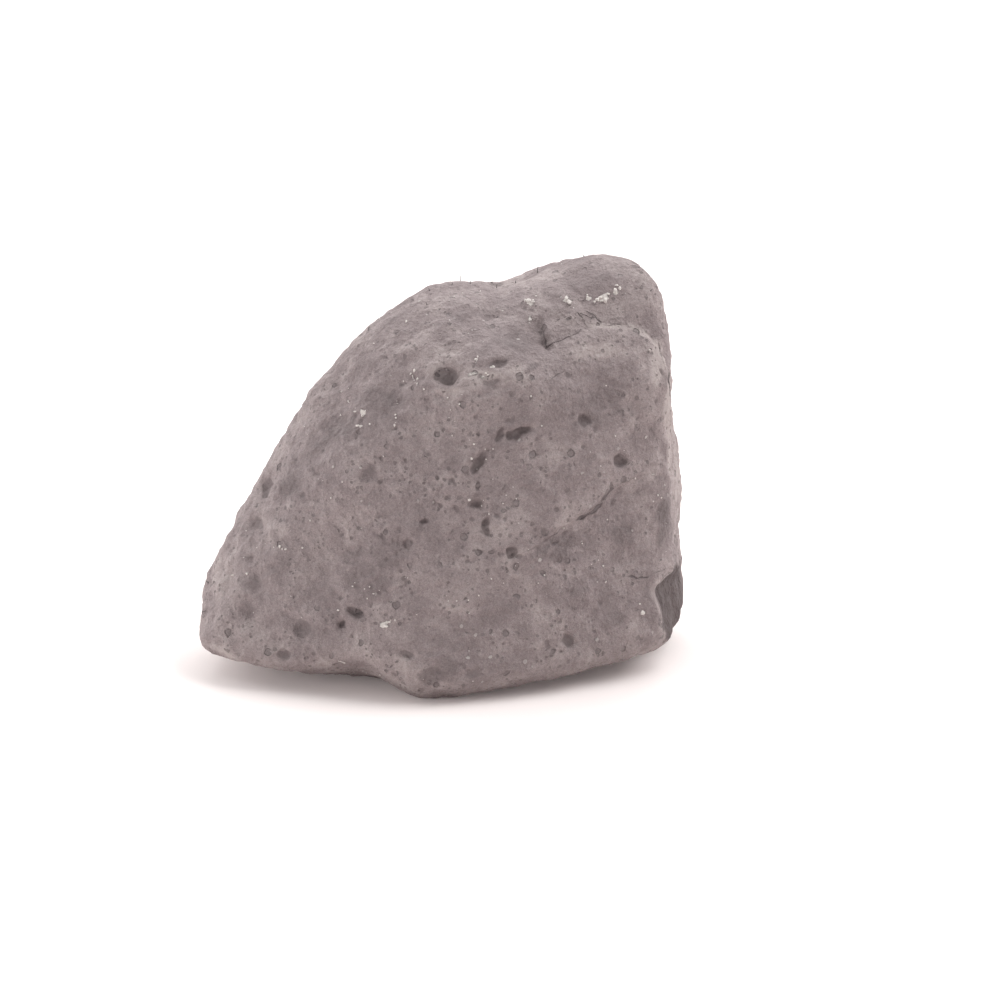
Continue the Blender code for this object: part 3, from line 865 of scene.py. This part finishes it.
class Nodes:
    """A short way to lay out a material's nodes."""

    def __init__(self, name):
        self.material = bpy.data.materials.new(name)
        self.material.use_nodes = True
        self.tree = self.material.node_tree
        self.shader = self.tree.nodes["Principled BSDF"]

    def put(self, socket, value):
        if isinstance(value, bpy.types.NodeSocket):
            self.tree.links.new(value, socket)
        else:
            socket.default_value = value

    def add(self, kind, inputs=None, **settings):
        node = self.tree.nodes.new("ShaderNode" + kind)
        for key, value in settings.items():
            setattr(node, key, value)
        for key, value in (inputs or {}).items():
            self.put(node.inputs[key], value)
        return node

    def math(self, operation, *values):
        node = self.add("Math", operation=operation)
        for socket, value in zip(node.inputs, values):
            self.put(socket, value)
        return node.outputs[0]

    def between(self, value, low, high, to_low=0.0, to_high=1.0):
        node = self.add("MapRange", interpolation_type="SMOOTHSTEP")
        for socket, number in zip(node.inputs, (value, low, high, to_low, to_high)):
            self.put(socket, number)
        return node.outputs[0]

    def mix(self, share, first, second, blend="MIX"):
        node = self.add("Mix", data_type="RGBA", blend_type=blend)
        for socket, value in zip((node.inputs[0], node.inputs[6], node.inputs[7]), (share, first, second)):
            self.put(socket, value)
        return node.outputs[2]

    def noise(self, place, scale, detail=2.0, roughness=0.5):
        values = {"Vector": place, "Scale": scale, "Detail": detail, "Roughness": roughness}
        return self.add("TexNoise", values).outputs["Fac"]

    def attribute(self, name):
        return self.add("Attribute", attribute_name=name).outputs["Fac"]

    def bent(self, place, scale, far):
        """The place, shifted by smooth noise along each axis."""
        shift = self.add("TexNoise", {"Vector": place, "Scale": scale, "Detail": 1.0}).outputs["Color"]
        values = {0: shift, 1: (far, far, far), 2: place}
        return self.add("VectorMath", values, operation="MULTIPLY_ADD").outputs[0]

    def scattered(self, place, scale, small, large, rarity, where):
        """Spots in some of the cells of a Voronoi pattern. Each has its own size, and the rarity is the share of cells
        left empty."""
        spots = self.add("TexVoronoi", {"Vector": place, "Scale": scale})
        drawn = self.add("SeparateColor", {"Color": spots.outputs["Color"]})
        size = self.between(drawn.outputs[1], 0.0, 1.0, small, large)
        edge = self.math("MULTIPLY_ADD", size, 1.2, 0.02)
        spot = self.between(spots.outputs["Distance"], size, edge, 1.0, 0.0)
        chosen = self.between(drawn.outputs[0], rarity, rarity + 0.03)
        return self.math("MULTIPLY", self.math("MULTIPLY", spot, chosen), where)


def ore_finish():
    """Dull mauve-grey ore: stains with painted light and shade, a fine mottle and cells with paler borders, painted
    shade in its pits, holes and cracks, paler on rims, and nearly black on the broken corner."""
    nodes = Nodes("weathered ore")
    place = nodes.add("TexCoord").outputs["Object"]
    bent = nodes.bent(place, 1500, 0.0004)
    pit = nodes.attribute("pit")
    rim = nodes.attribute("rim")
    broken = nodes.attribute("broken")
    # The tone carries the stains and the painted light and shade of the front.
    tone = nodes.attribute("tone")
    crust = nodes.attribute("crust")

    patches = nodes.noise(place, 240, 3.0, 0.6)
    mottle = nodes.noise(bent, 900, 3.0, 0.65)
    grit = nodes.noise(place, 3300, 2.0, 0.6)
    dust = nodes.noise(place, 8500, 1.0, 0.5)
    roughest = nodes.math("MULTIPLY_ADD", tone, 0.5, patches)

    # Painted shade on the floors of the pits, with edges made uneven by the mottle and grit.
    pit_edge = nodes.math("MULTIPLY_ADD", nodes.math("SUBTRACT", mottle, 0.5), 0.55, pit)
    pit_edge = nodes.math("MULTIPLY_ADD", nodes.math("SUBTRACT", grit, 0.5), 0.3, pit_edge)
    painted_pit_shade = nodes.between(pit_edge, 0.36, 0.54)
    # The cracks: a groove in the bump, and painted shade in the colour.
    from_crack = nodes.math("ABSOLUTE", nodes.attribute("crack aside"))
    crack_groove_and_shade = nodes.math("SUBTRACT", nodes.attribute("crack width"), from_crack)
    crack_groove_and_shade = nodes.math("MULTIPLY_ADD", nodes.math("SUBTRACT", grit, 0.6), 0.25, crack_groove_and_shade)
    crack_groove_and_shade = nodes.between(crack_groove_and_shade, 0.0, 0.1)

    crust = nodes.math("MULTIPLY_ADD", nodes.math("SUBTRACT", mottle, 0.5), 1.6, crust)
    crust = nodes.between(crust, 0.5, 0.62)
    hole = nodes.scattered(bent, 620, 0.05, 0.26, 0.6, nodes.between(roughest, 0.4, 0.58))
    pinhole = nodes.scattered(bent, 1700, 0.12, 0.34, 0.64, nodes.between(roughest, 0.36, 0.58))
    fleck = nodes.scattered(bent, 1150, 0.08, 0.26, 0.9, nodes.between(nodes.noise(place, 130), 0.45, 0.6))
    cell_place = nodes.bent(place, 700, 0.0009)
    cells = nodes.add("TexVoronoi", {"Vector": cell_place, "Scale": 400}, feature="DISTANCE_TO_EDGE")
    border = nodes.between(cells.outputs["Distance"], 0.0, 0.16, 1.0, 0.0)
    border = nodes.math("MULTIPLY", border, nodes.between(patches, 0.4, 0.65))
    pebbles = nodes.add("TexVoronoi", {"Vector": bent, "Scale": 1500}).outputs["Distance"]

    level = nodes.math("MULTIPLY_ADD", patches, 0.4, -0.2)
    level = nodes.math("ADD", level, nodes.math("MULTIPLY_ADD", mottle, 0.3, -0.15))
    level = nodes.math("ADD", level, nodes.math("MULTIPLY_ADD", grit, 0.46, -0.23))
    level = nodes.math("ADD", level, nodes.math("MULTIPLY_ADD", dust, 0.7, -0.35))
    level = nodes.math("MULTIPLY_ADD", border, 0.15, level)
    level = nodes.math("MULTIPLY_ADD", tone, 1.1, level)
    level = nodes.math("ADD", level, 0.545)

    ramp_node = nodes.add("ValToRGB", {"Fac": level})
    stops = ramp_node.color_ramp.elements
    stops[0].position, stops[0].color = 0.0, (0.128, 0.101, 0.101, 1)
    stops[1].position, stops[1].color = 1.0, (0.40, 0.341, 0.33, 1)
    middle = stops.new(0.5)
    middle.color = (0.242, 0.195, 0.195, 1)
    colour = ramp_node.outputs["Color"]
    colour = nodes.mix(nodes.math("MULTIPLY", rim, 0.4), colour, (0.38, 0.325, 0.315, 1))
    colour = nodes.mix(nodes.math("MULTIPLY", painted_pit_shade, 0.6), colour, (0.165, 0.134, 0.134, 1))
    # Painted shade in the holes and pinholes.
    colour = nodes.mix(nodes.math("MULTIPLY", hole, 0.6), colour, (0.13, 0.105, 0.105, 1))
    colour = nodes.mix(nodes.math("MULTIPLY", pinhole, 0.6), colour, (0.13, 0.105, 0.105, 1))
    colour = nodes.mix(nodes.math("MULTIPLY", fleck, 0.6), colour, (0.55, 0.5, 0.48, 1))
    colour = nodes.mix(nodes.math("MULTIPLY", broken, 0.9), colour, (0.066, 0.046, 0.046, 1))
    # Painted shade in the cracks.
    colour = nodes.mix(nodes.math("MULTIPLY", crack_groove_and_shade, 0.8), colour, (0.12, 0.096, 0.096, 1))
    colour = nodes.mix(nodes.math("MULTIPLY", crust, 0.9), colour, (0.66, 0.61, 0.58, 1))
    nodes.put(nodes.shader.inputs["Base Color"], colour)
    nodes.put(nodes.shader.inputs["Roughness"], nodes.between(mottle, 0.3, 0.7, 0.85, 0.68))
    nodes.shader.inputs["Specular IOR Level"].default_value = 0.5

    height = nodes.math("MULTIPLY_ADD", mottle, 0.6, nodes.math("MULTIPLY", grit, 0.27))
    height = nodes.math("MULTIPLY_ADD", dust, 0.07, height)
    height = nodes.math("MULTIPLY_ADD", pebbles, 0.28, height)
    height = nodes.math("MULTIPLY_ADD", hole, -0.7, height)
    height = nodes.math("MULTIPLY_ADD", pinhole, -0.4, height)
    height = nodes.math("MULTIPLY_ADD", fleck, 0.3, height)
    height = nodes.math("MULTIPLY_ADD", crust, 0.4, height)
    height = nodes.math("MULTIPLY_ADD", border, 0.15, height)
    height = nodes.math("MULTIPLY_ADD", crack_groove_and_shade, -0.4, height)
    bump = nodes.add("Bump", {"Height": height, "Strength": 1.0, "Distance": 0.00055})
    nodes.put(nodes.shader.inputs["Normal"], bump.outputs["Normal"])
    return nodes.material


def plain_finish(name, colour, roughness):
    nodes = Nodes(name)
    nodes.shader.inputs["Base Color"].default_value = colour
    nodes.shader.inputs["Roughness"].default_value = roughness
    return nodes.material


def floor_finish():
    nodes = Nodes("pale floor")
    nodes.shader.inputs["Base Color"].default_value = (0.93, 0.87, 0.855, 1)
    nodes.shader.inputs["Roughness"].default_value = 0.9
    nodes.shader.inputs["Specular IOR Level"].default_value = 0.1
    nodes.shader.inputs["Emission Color"].default_value = (1, 0.89, 0.88, 1)
    nodes.shader.inputs["Emission Strength"].default_value = 0.07
    return nodes.material


directions, faces = cube_sphere(GRID)
directions[:, 1] -= DRAWN_FORWARD
directions /= np.linalg.norm(directions, axis=1, keepdims=True)
points, marks = skin(directions)
stone_skin = placed_mesh("stone_skin", points, faces, ore_finish())
for mark, values in marks.items():
    layer = stone_skin.data.attributes.new(mark, "FLOAT", "POINT")
    layer.data.foreach_set("value", values.astype(np.float32))
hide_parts("stone")
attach(stone_skin, "root")

draw = np.random.default_rng(GRAIN_SEED)
listed = np.array(GRAINS)
spots, sizes = clustered(seen_at(listed[:, :2]), listed[:, 2], draw)
more_spots, more_sizes = scattered_grains(draw)
points, faces = grains(np.concatenate([spots, more_spots]), np.concatenate([sizes, more_sizes]), draw)
pale_grains = placed_mesh("pale_grains", points, faces, plain_finish("pale mineral", (0.68, 0.63, 0.6, 1), 0.6))
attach(pale_grains, "root")

points, faces = splinters()
iron_splinters = placed_mesh("iron_splinters", points, faces, plain_finish("dark iron", (0.06, 0.05, 0.05, 1), 0.5))
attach(iron_splinters, "root")

# The floor, the light and the camera.
FLOOR_HALF = 3.0
floor_data = bpy.data.meshes.new("floor")
corners = [(-1, -1, 0), (1, -1, 0), (1, 1, 0), (-1, 1, 0)]
floor_data.from_pydata([tuple(FLOOR_HALF * value for value in corner) for corner in corners], [], [(0, 1, 2, 3)])
floor_data.materials.append(floor_finish())
floor = bpy.data.objects.new("floor", floor_data)
bpy.context.scene.collection.objects.link(floor)

world = bpy.data.worlds.new("white room")
bpy.context.scene.world = world
world.use_nodes = True
world.node_tree.nodes["Background"].inputs["Color"].default_value = (1, 1, 1, 1)
world.node_tree.nodes["Background"].inputs["Strength"].default_value = 0.27

LOOK_AT = Vector((0.00707, 0.00365, 0.01814))
CAMERA_AWAY = 1.0
SENSOR = 36
FOCAL_LENGTH = 290.5


def turned_to(thing, place, target):
    thing.location = place
    thing.rotation_euler = (target - Vector(place)).to_track_quat("-Z", "Y").to_euler()
    bpy.context.scene.collection.objects.link(thing)


def soft_light(name, place, size, power):
    data = bpy.data.lights.new(name, "AREA")
    data.shape = "SQUARE"
    data.size = size
    data.energy = power
    turned_to(bpy.data.objects.new(name, data), place, LOOK_AT)


soft_light("over the back", (0, 0.5, 0.6), 0.7, 3.9)
soft_light("over the left", (-0.5, 0, 0.6), 0.6, 1.6)
soft_light("over the right", (0.5, 0, 0.6), 0.6, 4.9)
soft_light("low behind on the left", (-0.6, 0.5, 0.25), 0.6, 3.0)
soft_light("low behind on the right", (0.6, 0.5, 0.25), 0.6, 1.6)
soft_light("front left", (-0.5, -0.6, 0.3), 0.5, 1.35)
soft_light("low on the left", (-0.7, -0.15, 0.12), 0.3, 1.0)

lens = bpy.data.cameras.new("camera")
lens.sensor_width = SENSOR
lens.lens = FOCAL_LENGTH
camera = bpy.data.objects.new("camera", lens)
towards = Vector([float(value) for value in TOWARDS])
turned_to(camera, LOOK_AT + CAMERA_AWAY * towards, LOOK_AT)
bpy.context.scene.camera = camera

bpy.context.scene.view_settings.view_transform = "Standard"
